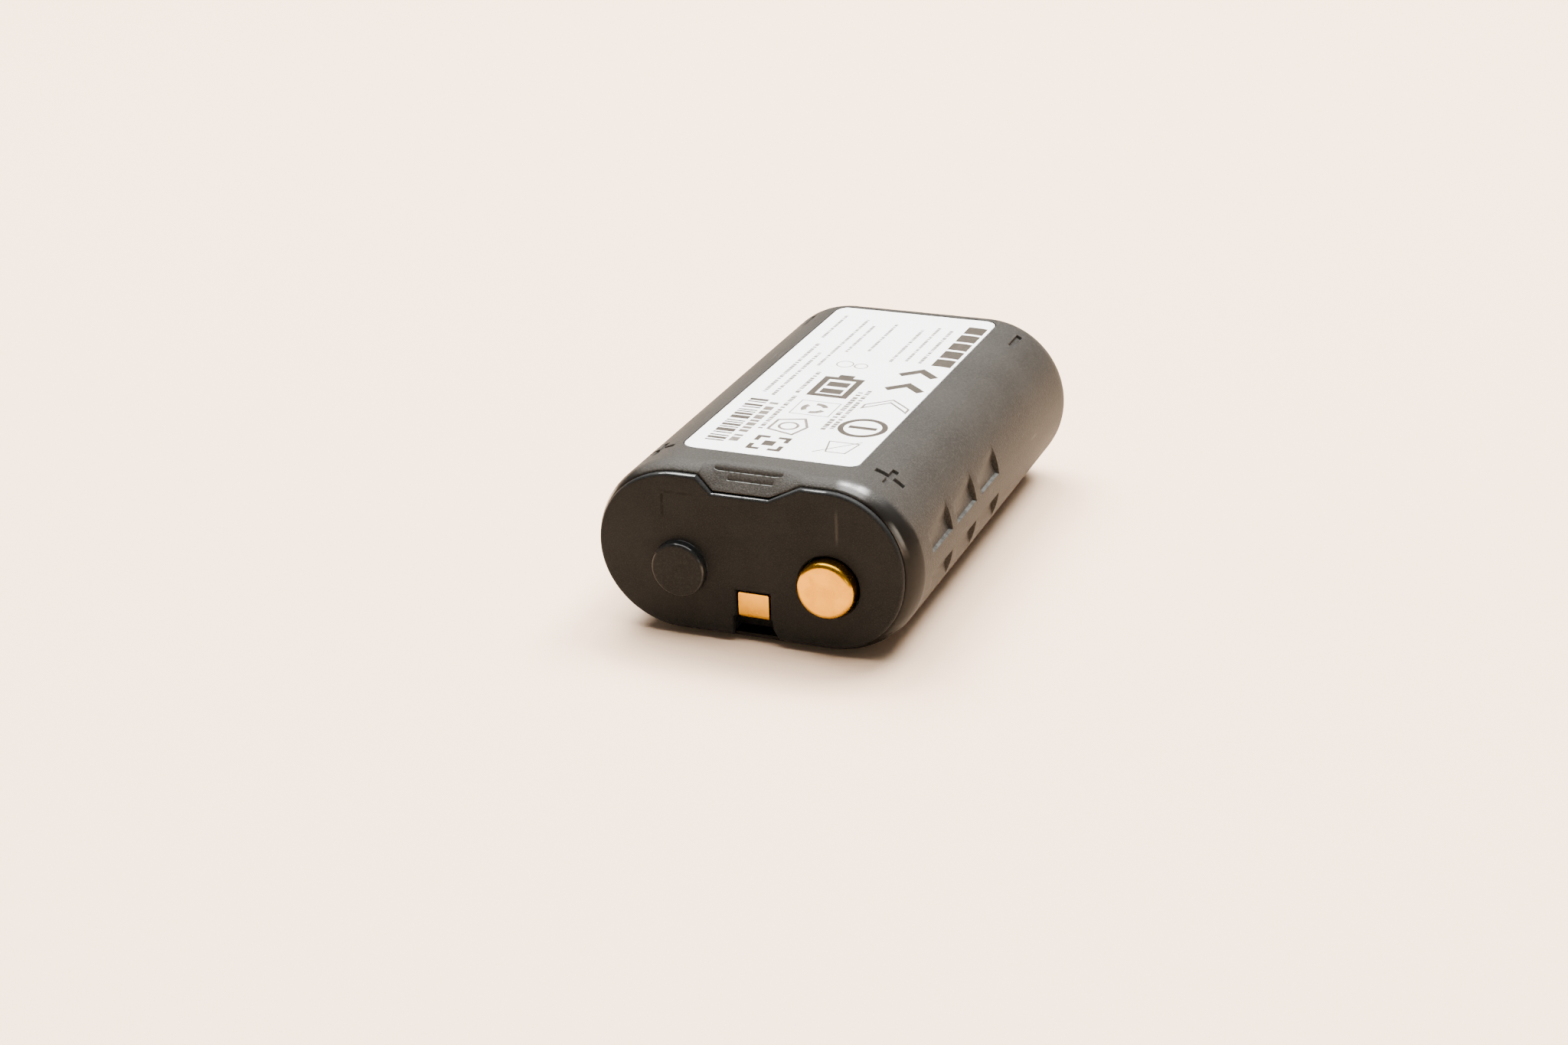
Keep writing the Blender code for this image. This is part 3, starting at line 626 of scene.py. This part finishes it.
def case_stations():
    """From the cavity's floor forward, over the lip and back to the rear face.

    Each is (depth and radius on the lip, depth and radius on the tongue, whether it is outside).
    """
    bore = CASE_R - WALL
    floor = LENGTH - END_WALL
    stations = []
    for a in reversed(quarter(4)):
        depth = floor - CAVITY_ROUND * (1 - sin(a))
        radius = bore - CAVITY_ROUND * (1 - cos(a))
        stations.append((depth, radius, depth, radius, False))
    under = TONGUE_LOW - MID_Z
    start = TONGUE_TIP[0]
    lip_edge, tip = lip_radius(LIP_DEPTH), ramp_radius(start)
    stations.append((RAMP_DEPTH, bore, RAMP_DEPTH, bore, False))
    stations.append((1.95, bore, 1.9, under, False))
    stations.append((1.3, bore, 0.9, under, False))
    # the thin front faces of the lip and the tongue
    stations.append((LIP_DEPTH, bore, start + 0.03, under, False))
    stations.append((LIP_DEPTH, bore + 0.05, start, under + 0.03, False))
    stations.append((LIP_DEPTH, lip_edge - 0.05, start, tip - 0.02, False))
    stations.append((LIP_DEPTH + 0.015, lip_edge - 0.015, start + 0.02, tip, True))
    # the lip's roll beside the tongue's ramp
    grooves = [depth for depth, _, _ in RAMP_GROOVES]
    for depth in spread(start + 0.08, LIP_START + 0.35, 0.15, grooves, GROOVE_WIDTH):
        share = min((depth - start) / (LIP_MEETS_RAMP - start), 1.0)
        lip = max(depth, mix(LIP_DEPTH + 0.03, LIP_MEETS_RAMP, share))
        stations.append((lip, lip_radius(lip), depth, ramp_radius(depth), True))
    # the flanks, with edges at the pockets and the marks
    edges = [*POCKET_REARS]
    for middle in (PLUS_DEPTH, MINUS_DEPTH):
        edges += [middle + side * MARK_HALF[0] for side in (-1, 1)]
    edges += [PLUS_DEPTH + side * MARK_HALF[1] for side in (-1, 1)]
    edges += [rear - POCKET_LENGTH for rear in POCKET_REARS]
    for depth in spread(LIP_START + 0.6, LENGTH - REAR_ROUND, 1.0, edges):
        stations.append((depth, CASE_R, depth, CASE_R, True))
    for a in quarter(14)[1:]:
        depth = LENGTH - REAR_ROUND * (1 - sin(a))
        radius = CASE_R - REAR_ROUND * (1 - cos(a))
        stations.append((depth, radius, depth, radius, True))
    return stations


def engraved(line, depth):
    """How deep the marks and the tongue's grooves are at a line and a depth."""
    x, angle = line
    if abs(angle - pi / 2) < 0.001:
        cut = 0.0
        for middle, left, right in RAMP_GROOVES:
            away = min(abs(depth - middle) / (GROOVE_WIDTH / 2), 1.0)
            along = smooth_step(x, left) * smooth_step(-x, -right)
            cut = max(cut, GROOVE_CUT * cos(away * pi / 2) ** 2 * along)
        return cut
    across = abs(min(abs(angle), abs(pi - angle)) - MARK_ANGLE) * CASE_R if sin(angle) > 0 else CASE_R
    long, thin = MARK_HALF
    inside = 0.0
    bars = ((PLUS_DEPTH, long, thin), (PLUS_DEPTH, thin, long), (MINUS_DEPTH, thin, long))
    for middle, half_u, half_v in bars:
        along = abs(depth - middle)
        inside = max(inside, smooth_step(-across, -half_u) * smooth_step(-along, -half_v))
    return MARK_CUT * inside


def pocketed(x, depth, z):
    """X of a place on the flank. Each pocket has a ledge along the land and is scooped deeper to the rear."""
    from_land = abs(z - LAND_Z)
    beside = smooth_step(from_land, LAND_HALF)
    for rear in POCKET_REARS:
        run = (depth - rear + POCKET_LENGTH) / POCKET_LENGTH
        ends = smooth_step(depth, rear - POCKET_LENGTH) * smooth_step(-depth, -rear)
        if ends > 0 and abs(x) > ARC_X:
            scoop = 1 - ((from_land - SCOOP_RISE) / SCOOP_HALF) ** 2
            floor = case_high.x - LEDGE_CUT - SCOOP_CUT * min(max(run, 0.0), 1.0) * scoop
            reached = softer_min(abs(x), floor, POCKET_SOFT)
            return mix(abs(x), reached, beside * ends) * (1 if x > 0 else -1)
    return x


def lean(across, depth):
    """How far towards -X the lip leans at a depth, where across is its outward direction's share of X."""
    reach = min(max((LIP_START - depth) / (LIP_START - LIP_DEPTH), 0.0), 1.0)
    left, right = LIP_LEAN
    return reach * (right * across if across > 0 else -left * across)


def case_point(line, station):
    """Where a line of the can's outline is at a station."""
    lip_depth, lip_r, tongue_depth, tongue_r, outside = station
    share = tongue_share(line)
    depth, radius = mix(lip_depth, tongue_depth, share), mix(lip_r, tongue_r, share)
    centre, angle = line
    if outside:
        radius -= engraved(line, depth)
    x, z = centre + radius * cos(angle), MID_Z + radius * sin(angle)
    if outside:
        x = pocketed(x, depth, z)
    return at(x - lean(cos(angle), depth), depth, z)


def top_z(x):
    """The height of the can's top at X, which falls away past the flat."""
    past = max(abs(x) - ARC_X, 0.0)
    return MID_Z + sqrt(CASE_R * CASE_R - past * past)


def laid(outlines, low, high):
    """Flat (u, v) outlines on the label, laid over the can's top between two heights above it."""
    mesh = bmesh.new()
    for outline in outlines:
        mesh.faces.new([mesh.verts.new((u, v, 0.0)) for u, v in outline])
    bmesh.ops.remove_doubles(mesh, verts=mesh.verts, dist=0.001)
    for x in CURVE_CUTS:
        geometry = mesh.verts[:] + mesh.edges[:] + mesh.faces[:]
        bmesh.ops.bisect_plane(mesh, geom=geometry, plane_co=(x - LABEL_X, 0, 0), plane_no=(1, 0, 0))
    made = bmesh.ops.extrude_face_region(mesh, geom=mesh.faces[:])["geom"]
    upper = {item for item in made if isinstance(item, bmesh.types.BMVert)}
    turn = Matrix.Rotation(LABEL_TURN, 3, "Z")
    for vert in mesh.verts:
        spot = turn @ vert.co
        x, depth = LABEL_X + spot.x, LABEL_DEPTH + spot.y
        vert.co = at(x, depth, top_z(x) + (high if vert in upper else low))
    bmesh.ops.recalc_face_normals(mesh, faces=mesh.faces)
    return mesh


def label_outline(margin):
    """The label's outline, let out by a margin. Its front left corner is rubbed rounder."""
    half_u, half_v = LABEL_HALF
    corners = ((1, -1, -90), (1, 1, 0), (-1, 1, 90), (-1, -1, 180))
    points = []
    for (u, v, start), radius in zip(corners, LABEL_CORNERS):
        points += arc(u * (half_u - radius), v * (half_v - radius), radius + margin, start, start + 90, 8)
    return points


def make_case():
    """The can, with the label's recess and a window for each rear contact."""
    mesh = extruded_loop(case_lines(), case_stations(), case_point)
    case = shown("grained_can", mesh, "case_plastic", "case_shell", 30)
    recess = laid([label_outline(LABEL_GAP)], -RECESS_CUT, 0.8)
    windows = []
    for x in (CONTACT_X, -CONTACT_X):
        bevel = [(WINDOW_R, LENGTH - 0.25), (WINDOW_R + 0.5, LENGTH + 0.25)]
        profile = [(0, LENGTH - 1.5), (WINDOW_R, LENGTH - 1.5), *bevel, (0, LENGTH + 0.25)]
        windows.append(("DIFFERENCE", turned(x, MID_Z, profile, 64)))
    carved(case, "case_plastic", 30, ("DIFFERENCE", recess), *windows)


# ------------------------------------------------------------------ the front


def cap_outline():
    """The cap from the front, as (x, z): its round ends, the tongue's mouth and the contact's notch."""
    low, high = MID_Z - CAP_R, MID_Z + CAP_R
    start, full, fall, end = TONGUE_X
    mouth_z = TONGUE_LOW - TONGUE_GAP
    lip_z = MID_Z + lip_radius(LIP_DEPTH)
    left, right = full - TONGUE_GAP / 2, fall + TONGUE_GAP / 2
    left_run = (full - start) / (lip_z - TONGUE_LOW) * (high - mouth_z)
    right_run = (end - fall) / (lip_z - TONGUE_LOW) * (high - mouth_z)
    points = arc(ARC_X, MID_Z, CAP_R, -90, 90, 48)
    points += [(right + right_run, high), (right, mouth_z), (left, mouth_z), (left - left_run, high)]
    points += arc(-ARC_X, MID_Z, CAP_R, 90, 270, 48)
    ends = [max(abs(x) - ARC_X, 0.0) / CAP_R * (1 if x > 0 else -1) for x, _ in points]
    leaning = [(x - lean(across, 0.0), z) for (x, z), across in zip(points, ends)]
    return [*leaning, (NOTCH_UP[0][0], low), *NOTCH_UP, *NOTCH_DOWN]


def cap_solid():
    """The cap's face, rounded at its edge, and the narrower step behind it."""
    mesh = drawn(cap_outline(), 0.0, CAP_RIM)
    ends = [face for face in mesh.faces if len(face.verts) > 8]
    front, rear = sorted(ends, key=lambda face: face.calc_center_median().y)
    bmesh.ops.inset_region(mesh, faces=[rear], thickness=CAP_STEP * MM)
    made = bmesh.ops.extrude_face_region(mesh, geom=[rear])["geom"]
    moved = [item for item in made if isinstance(item, bmesh.types.BMVert)]
    bmesh.ops.translate(mesh, vec=(0, (CAP_PLATE - CAP_RIM) * MM, 0), verts=moved)
    bmesh.ops.delete(mesh, geom=[rear], context="FACES_ONLY")
    bmesh.ops.bevel(
        mesh,
        geom=list(front.edges),
        offset=CAP_EDGE * MM,
        affect="EDGES",
        segments=6,
        profile=0.5,
        material=-1,
        clamp_overlap=False,
    )
    return mesh


def make_cap():
    """The satin end cap with its nub, the stud's hole, and a back wall behind the contact's notch."""
    cap = shown("satin_cap", cap_solid(), "cap_plastic", "front_cap", 30)
    side = CONTACT_R - NUB_FOOT
    sunk = CAP_PLATE / 2
    nub = [(0, -NUB_PROUD), *rounded(side, -NUB_PROUD, NUB_ROUND)]
    nub += [(side + NUB_FOOT * (1 - cos(a)), -NUB_FOOT * (1 - sin(a))) for a in quarter(5)]
    nub += [(side + NUB_FOOT + 0.02, sunk), (0, sunk)]
    hole, behind = CONTACT_R + BORE_GAP, CAP_PLATE + 1
    bore = [(0, -0.2), (hole + BORE_LEAD_IN + 0.2, -0.2), (hole, BORE_LEAD_IN), (hole, behind), (0, behind)]
    back = drawn(bar(-3.2, 3.2, 0.95, 2.75), CAP_PLATE - 0.3, 2.05)
    hollow = drawn(bar(-2.0, 1.8, 0.7, 2.6), 0.4, 1.95)
    carved(
        cap,
        "cap_plastic",
        30,
        ("UNION", turned(NUB_X, CONTACT_Z, nub)),
        ("DIFFERENCE", turned(CONTACT_X, CONTACT_Z, bore)),
        ("UNION", back),
        ("DIFFERENCE", hollow),
    )


def make_stud():
    """The gold stud, rounded at its front edge, on its stem."""
    end = stud_high.y - FRONT
    profile = [(0, -STUD_PROUD), (CONTACT_R * 0.5, -STUD_PROUD)]
    profile += rounded(CONTACT_R, -STUD_PROUD, STUD_ROUND)
    head, stem = 1.8, 0.8
    profile += [(CONTACT_R, head), (stem, head), (stem, end), (0, end)]
    shown("gold_stud", turned(CONTACT_X, CONTACT_Z, profile), "gold_plate", "positive_stud", 35)


def make_leaf():
    """The data contact: a strip with rounded corners, folded back under itself and narrower past the fold."""
    half = (leaf_high.x - leaf_low.x) / 2 - LEAF_TRIM
    top = leaf_high.z - LEAF_DROP[0]
    low = leaf_low.z - LEAF_DROP[1] + LEAF_THICK / 2
    face, foot = leaf_low.y - FRONT + LEAF_THICK / 2, leaf_high.y - FRONT - LEAF_THICK / 2
    corner, fold, narrow = 0.2, 0.42, half - 0.28
    path = [(face, top - corner * (1 - cos(a)), half - corner * (1 - sin(a))) for a in quarter(5)]
    path += [
        (face + fold * (1 - cos(a)), low + fold * (1 - sin(a)), narrow + (half - narrow) * cos(a))
        for a in quarter(8)
    ]
    path += [(foot - fold * (1 - sin(a)), low + fold * (1 - cos(a)), narrow) for a in quarter(8)]
    path.append((foot, 4.4, narrow))
    mesh = bmesh.new()
    verts = [mesh.verts.new(at(-across, depth, z)) for depth, z, across in path]
    edges = [mesh.edges.new(pair) for pair in zip(verts, verts[1:])]
    made = bmesh.ops.extrude_edge_only(mesh, edges=edges)["geom"]
    for vert in made:
        if isinstance(vert, bmesh.types.BMVert):
            vert.co.x = -vert.co.x
    bmesh.ops.translate(mesh, vec=(LEAF_X * MM, 0, 0), verts=mesh.verts)
    bmesh.ops.recalc_face_normals(mesh, faces=mesh.faces)
    leaf = shown("gold_leaf", mesh, "gold_plate", "data_contact", 35)
    wall = leaf.modifiers.new("thickness", "SOLIDIFY")
    wall.thickness = LEAF_THICK * MM
    wall.offset = 0.0
    soft = leaf.modifiers.new("edges", "BEVEL")
    soft.width = 0.06 * MM
    soft.segments = 3
    soft.limit_method = "ANGLE"
    soft.angle_limit = radians(50)


# ------------------------------------------------------------------ the label and its print


def bar(u0, u1, v0, v1):
    return [(u0, v0), (u1, v0), (u1, v1), (u0, v1)]


def ring(u, v, radius, width, start=0, end=360):
    """A stroke along an arc, as one or two outlines."""
    parts = 2 if end - start > 300 else 1
    shapes = []
    for part in range(parts):
        a, b = mix(start, end, part / parts), mix(start, end, (part + 1) / parts)
        steps = max(6, ceil((b - a) / 9))
        outer = arc(u, v, radius + width / 2, a, b, steps)
        shapes.append(outer + arc(u, v, radius - width / 2, b, a, steps))
    return shapes


def stroke(points, width, closed=False):
    """A line of even width through (u, v) points, as one block for each run, mitred where they meet."""
    spots = [Vector(point) for point in points]
    count = len(spots)
    runs = [(spots[(i + 1) % count] - spots[i]).normalized() for i in range(count)]
    sides = []
    for i in range(count):
        before, after = runs[i - 1], runs[i]
        if not closed and i == 0:
            before = after
        if not closed and i == count - 1:
            after = before
        across = (before + after).normalized().orthogonal()
        sides.append(across * width / 2 / across.dot(after.orthogonal()))
    shapes = []
    for i in range(count if closed else count - 1):
        j = (i + 1) % count
        shapes.append([spots[i] - sides[i], spots[j] - sides[j], spots[j] + sides[j], spots[i] + sides[i]])
    return shapes


def code_bars():
    """A made-up bar code, of bars and gaps one to three units wide."""
    widths = "112112113111211112312111121122112"
    start, end = -17.65, -6.9
    unit = (end - start) / sum(map(int, widths))
    v, shapes = start, []
    for i, count in enumerate(map(int, widths)):
        if i % 2 == 0:
            shapes.append(bar(-6.8, -5.0, v, v + count * unit))
        v += count * unit
    return shapes


def dashes(u, v0, v1, height, seed):
    """A row of small blocks of uneven length that stands for a line of small print along the label."""
    v, turn, shapes = v0, seed, []
    while v < v1:
        turn = (turn * 7 + 3) % 11
        long = height * (0.45 + 0.07 * turn)
        if turn != 5:
            shapes.append(bar(u - height / 2, u + height / 2, v, min(v + long, v1)))
        v += long + height * (0.32 if turn % 4 else 0.8)
    return shapes


def bold_print():
    """The label's heavy marks, all generic."""
    shapes = code_bars()
    # four corner brackets round a block
    for side_u in (-1, 1):
        for side_v in (-1, 1):
            corner = [(0.4, 1.4), (1.4, 1.4), (1.4, 0.4)]
            shapes += stroke([(-0.95 + side_u * u, -16.9 + side_v * v) for u, v in corner], 0.44)
    shapes.append(bar(-1.5, -0.4, -17.45, -16.35))
    # a battery sign with a terminal and two charge bars
    shapes += stroke([(-2.0, -4.3), (1.3, -4.3), (1.3, 0.2), (-2.0, 0.2)], 0.66, True)
    shapes.append(bar(-1.1, 0.4, 0.5, 1.25))
    shapes += [bar(-1.4, 0.7, -3.7, -2.5), bar(-1.4, 0.7, -1.9, -0.7)]
    # two chevrons
    for v in (-1.0, 2.9):
        shapes += stroke([(4.2, v), (5.9, v + 1.5), (7.6, v)], 0.85)
    # a ring with a bar across it
    shapes += ring(5.67, -11.0, 2.0, 0.52)
    shapes.append(bar(4.35, 7.0, -11.3, -10.7))
    # blocks where a name would go
    shapes += [bar(6.15, 8.05, v, v + 1.95) for v in (6.1, 8.5, 10.9, 13.3, 15.7)]
    return shapes


def fine_print():
    """The label's fine marks, all generic, and its rows of small print."""
    shapes = dashes(-4.25, -17.3, -7.4, 0.85, 4)
    # a five-sided sign round a ring, and three arcs in a box
    shapes += stroke([(-2.4, -13.6), (0.2, -14.4), (0.9, -12.4), (0.0, -10.5), (-2.3, -11.3)], 0.26, True)
    shapes += ring(-0.85, -12.5, 0.85, 0.26)
    shapes += stroke([(-2.05, -9.4), (1.7, -9.4), (1.7, -6.0), (-2.05, -6.0)], 0.10, True)
    for start in (20, 140, 260):
        shapes += ring(-0.25, -7.7, 1.0, 0.52, start, start + 78)
    # an outlined chevron
    chevron = [(3.8, -6.3), (5.9, -4.3), (8.0, -6.3), (8.0, -5.4), (5.9, -3.6), (3.8, -5.4)]
    shapes += stroke(chevron, 0.20, True)
    # a struck-through block, and two small rings
    shapes += stroke([(3.4, -17.6), (6.9, -14.3)], 0.12)
    shapes += stroke([(4.0, -14.8), (6.8, -14.8), (6.3, -17.2), (4.5, -17.2)], 0.14, True)
    shapes += ring(-1.75, 4.1, 0.80, 0.12) + ring(-0.1, 4.0, 0.62, 0.12)
    # rows, each with its place across the label, its start, its end, its height and a seed
    rows = [
        (2.35, -12.4, -2.6, 0.46, 2),
        (3.05, -12.0, -2.0, 0.40, 6),
        (-3.1, -13.8, -5.2, 0.42, 8),
        (-3.3, -4.4, 1.4, 0.40, 4),
        (-5.2, -5.6, 6.4, 0.34, 1),
        (-6.3, -5.0, 9.0, 0.36, 9),
        (-4.1, 3.0, 16.8, 0.30, 3),
        (-2.9, 7.4, 15.2, 0.30, 7),
        (-0.9, 8.2, 16.4, 0.30, 4),
        (0.6, 6.6, 17.0, 0.30, 5),
        (2.1, 6.0, 15.6, 0.32, 10),
        (3.5, 6.6, 16.6, 0.30, 0),
        (4.9, 6.4, 16.0, 0.34, 2),
        (-6.6, 10.6, 17.4, 0.30, 2),
    ]
    for row in rows:
        shapes += dashes(*row)
    return shapes


def make_label():
    """The film, sunk in its recess, and the print that stands a hair above it."""
    film = laid([label_outline(0.0)], -RECESS_CUT + 0.02, -LABEL_SUNK)
    shown("label_sheet", film, "label_film", "label")
    ink_low, ink_high = -LABEL_SUNK - INK_IN, -LABEL_SUNK + INK_PROUD
    shown("label_bold_print", laid(bold_print(), ink_low, ink_high), "bold_ink", None)
    shown("label_fine_print", laid(fine_print(), ink_low, ink_high), "fine_ink", None)


# ------------------------------------------------------------------ the rear


def make_rear_contacts():
    """Two dished contacts behind the can's windows, each on its stem."""
    radius = (rear_high.x - rear_low.x) / 2
    front, face = rear_low.y - FRONT, rear_high.y - FRONT
    dish, stem, back = 0.12, 1.0, LENGTH - 1.1
    for side, name in ((1, "right"), (-1, "left")):
        profile = [(0, face - dish), (radius - 0.75, face - dish), (radius - 0.6, face), (radius - 0.2, face)]
        profile += [(radius - 0.05, face - 0.06), (radius, face - 0.2), (radius, back)]
        profile += [(stem, back), (stem, front), (0, front)]
        mesh = turned(side * CONTACT_X, MID_Z, profile)
        shown(f"rear_contact_{name}", mesh, "gold_plate", f"negative_contact_{name}", 35)


def finish_inner_parts():
    """The inner parts keep their solids and take a full finish."""
    for entry in frame["record"]["subparts"]:
        piece = frame["nodes"][entry["node"]]
        piece.data.materials.clear()
        piece.data.materials.append(FINISHES[entry["material_slot"]])


# ------------------------------------------------------------------ floor, light and camera


def make_floor():
    """A plain pale floor."""
    mesh = bmesh.new()
    bmesh.ops.create_grid(mesh, x_segments=1, y_segments=1, size=3.0)
    data = bpy.data.meshes.new("floor")
    mesh.to_mesh(data)
    mesh.free()
    made = Finish("pale_floor", Roughness=0.6)
    made.drive(Base_Color=made.blend(made.noise(3.0, 3.0), (0.88, 0.62, 0.42), (0.90, 0.64, 0.44)))
    data.materials.append(made.material)
    floor = bpy.data.objects.new("floor", data)
    bpy.context.scene.collection.objects.link(floor)


def soft_light(name, place, size, power, colour):
    """A rectangular light that faces the pack."""
    data = bpy.data.lights.new(name, "AREA")
    data.shape = "RECTANGLE"
    data.size, data.size_y = size
    data.energy = power
    data.color = colour
    light = bpy.data.objects.new(name, data)
    light.location = place
    aim = Vector((0, 0, MID_Z * MM)) - light.location
    light.rotation_euler = aim.to_track_quat("-Z", "Y").to_euler()
    bpy.context.scene.collection.objects.link(light)


def make_light():
    """Two big soft boxes and a small one behind the pack, a fill overhead, and a card low at the front."""
    world = bpy.data.worlds.new("studio")
    bpy.context.scene.world = world
    world.use_nodes = True
    air = world.node_tree.nodes["Background"]
    air.inputs["Color"].default_value = (1.0, 0.97, 0.93, 1.0)
    air.inputs["Strength"].default_value = 0.20
    white = (1.0, 0.985, 0.965)
    soft_light("left_box", (-0.32, 0.26, 0.64), (0.5, 0.4), 17, white)
    soft_light("right_box", (0.22, 0.36, 0.72), (0.34, 0.30), 17, white)
    soft_light("small_box", (-0.06, 0.30, 0.62), (0.10, 0.10), 2.2, white)
    soft_light("overhead", (0.0, 0.05, 0.85), (0.9, 0.7), 18, white)
    soft_light("front_card", (0.55, -0.60, 0.17), (0.30, 0.06), 0.6, white)


def make_camera():
    """At the front right, a little above, a quarter of a metre away."""
    data = bpy.data.cameras.new("camera")
    data.sensor_width = 36.0
    data.lens = 59.39
    data.clip_start = 0.01
    azimuth, elevation, roll = radians(22.44), radians(23.40), radians(-1.89)
    distance, slide, rise = 244.055, -6.096, -5.699
    back = Vector((sin(azimuth) * cos(elevation), -cos(azimuth) * cos(elevation), sin(elevation)))
    level = Vector((cos(azimuth), sin(azimuth), 0.0))
    upward = level.cross(-back)
    right = level * cos(roll) + upward * sin(roll)
    up = upward * cos(roll) - level * sin(roll)
    aimed = Vector((0, 0.6, MID_Z))
    place = (aimed + back * distance + right * slide + up * rise) * MM
    camera = bpy.data.objects.new("camera", data)
    turn = Matrix((right, up, back)).transposed().to_4x4()
    camera.matrix_world = Matrix.Translation(place) @ turn
    bpy.context.scene.collection.objects.link(camera)
    bpy.context.scene.camera = camera


finish_inner_parts()
make_case()
make_cap()
make_stud()
make_leaf()
make_label()
make_rear_contacts()
make_floor()
make_light()
make_camera()
